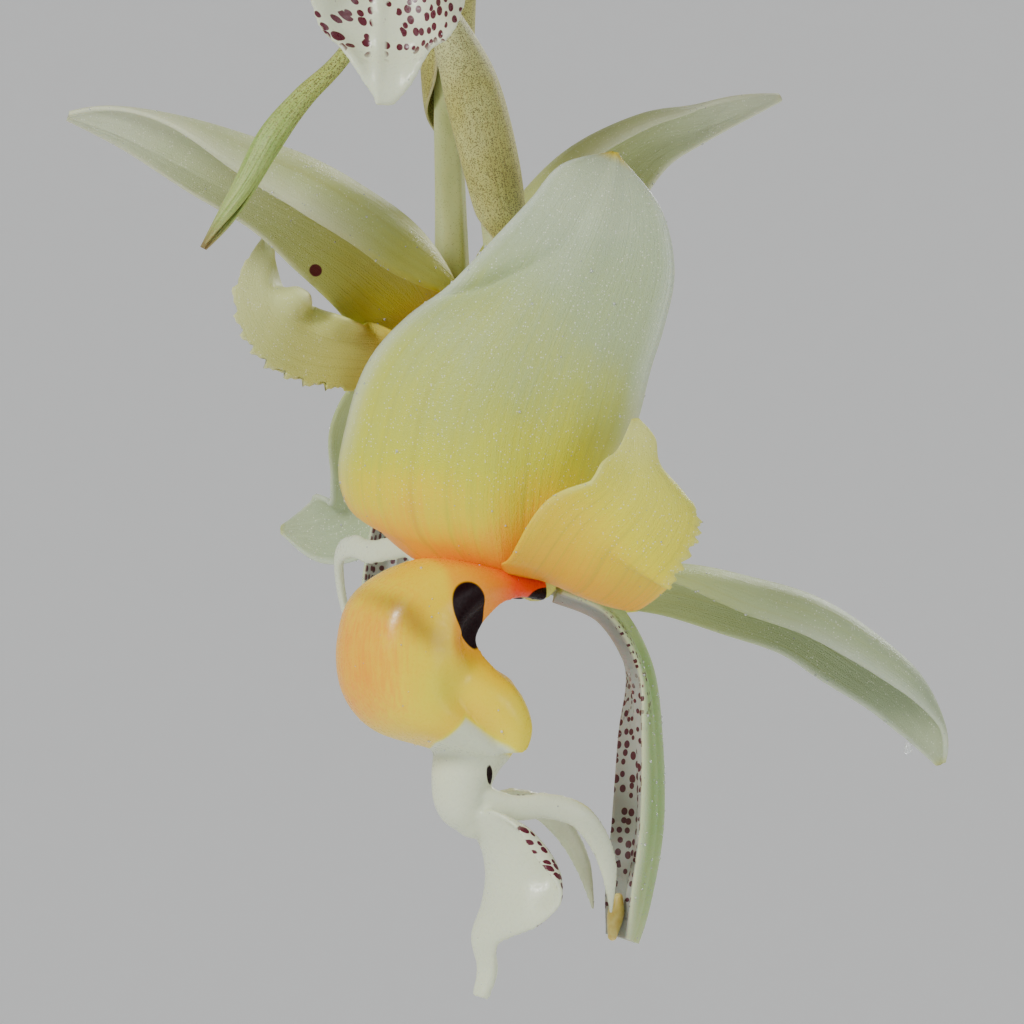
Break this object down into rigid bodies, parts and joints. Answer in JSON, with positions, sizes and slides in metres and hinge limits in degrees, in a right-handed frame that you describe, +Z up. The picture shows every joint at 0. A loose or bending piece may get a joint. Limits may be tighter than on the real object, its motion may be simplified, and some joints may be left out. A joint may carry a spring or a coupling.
{
  "type": "potted stanhopea orchid in a hanging pot",
  "caption": "Hanging clay orchid pot with bulbs, pleated leaves and a pendent spray of large waxy cream and orange flowers.",
  "frame": {"origin": "where the crown of the hanger's hook bears on its rail or nail, at the top inside of the crook", "axes": "+Z up; +X to the right and +Y away in the picture's view"},
  "size_m": [0.372, 0.266, 0.6446],
  "materials": {
    "galvanised_wire": "satin",
    "clay": "unglazed matte",
    "bark": "rough",
    "rhizome": "matte",
    "bulb": "satin",
    "leaf": "satin",
    "stem": "satin",
    "bract": "matte",
    "tepal": "waxy",
    "lip": "waxy",
    "column": "waxy",
    "anther": "matte"
  },
  "bodies": {
    "root": {"hanger_hook": "galvanised_wire", "hanger_wire_1": "galvanised_wire", "hanger_wire_2": "galvanised_wire", "hanger_wire_3": "galvanised_wire", "pot": "clay", "potting_mix": "bark", "rhizome": "rhizome", "pseudobulb_1": "bulb", "leaf_1": "leaf", "pseudobulb_2": "bulb", "leaf_2": "leaf", "pseudobulb_3": "bulb", "leaf_3": "leaf", "pseudobulb_4": "bulb", "leaf_4": "leaf", "scape": "stem", "sheath_high": "bract", "sheath_low": "bract", "narrow_bract": "bract", "high_bract": "bract", "high_sepals_and_petals": "tepal", "high_lip": "lip", "high_column": "column", "high_anther_cap": "anther", "rear_bract": "bract", "rear_sepals_and_petals": "tepal", "rear_lip": "lip", "rear_column": "column", "rear_anther_cap": "anther", "low_bract": "bract", "low_sepals_and_petals": "tepal", "low_lip": "lip", "low_column": "column", "low_anther_cap": "anther"}
  },
  "joints": []
}
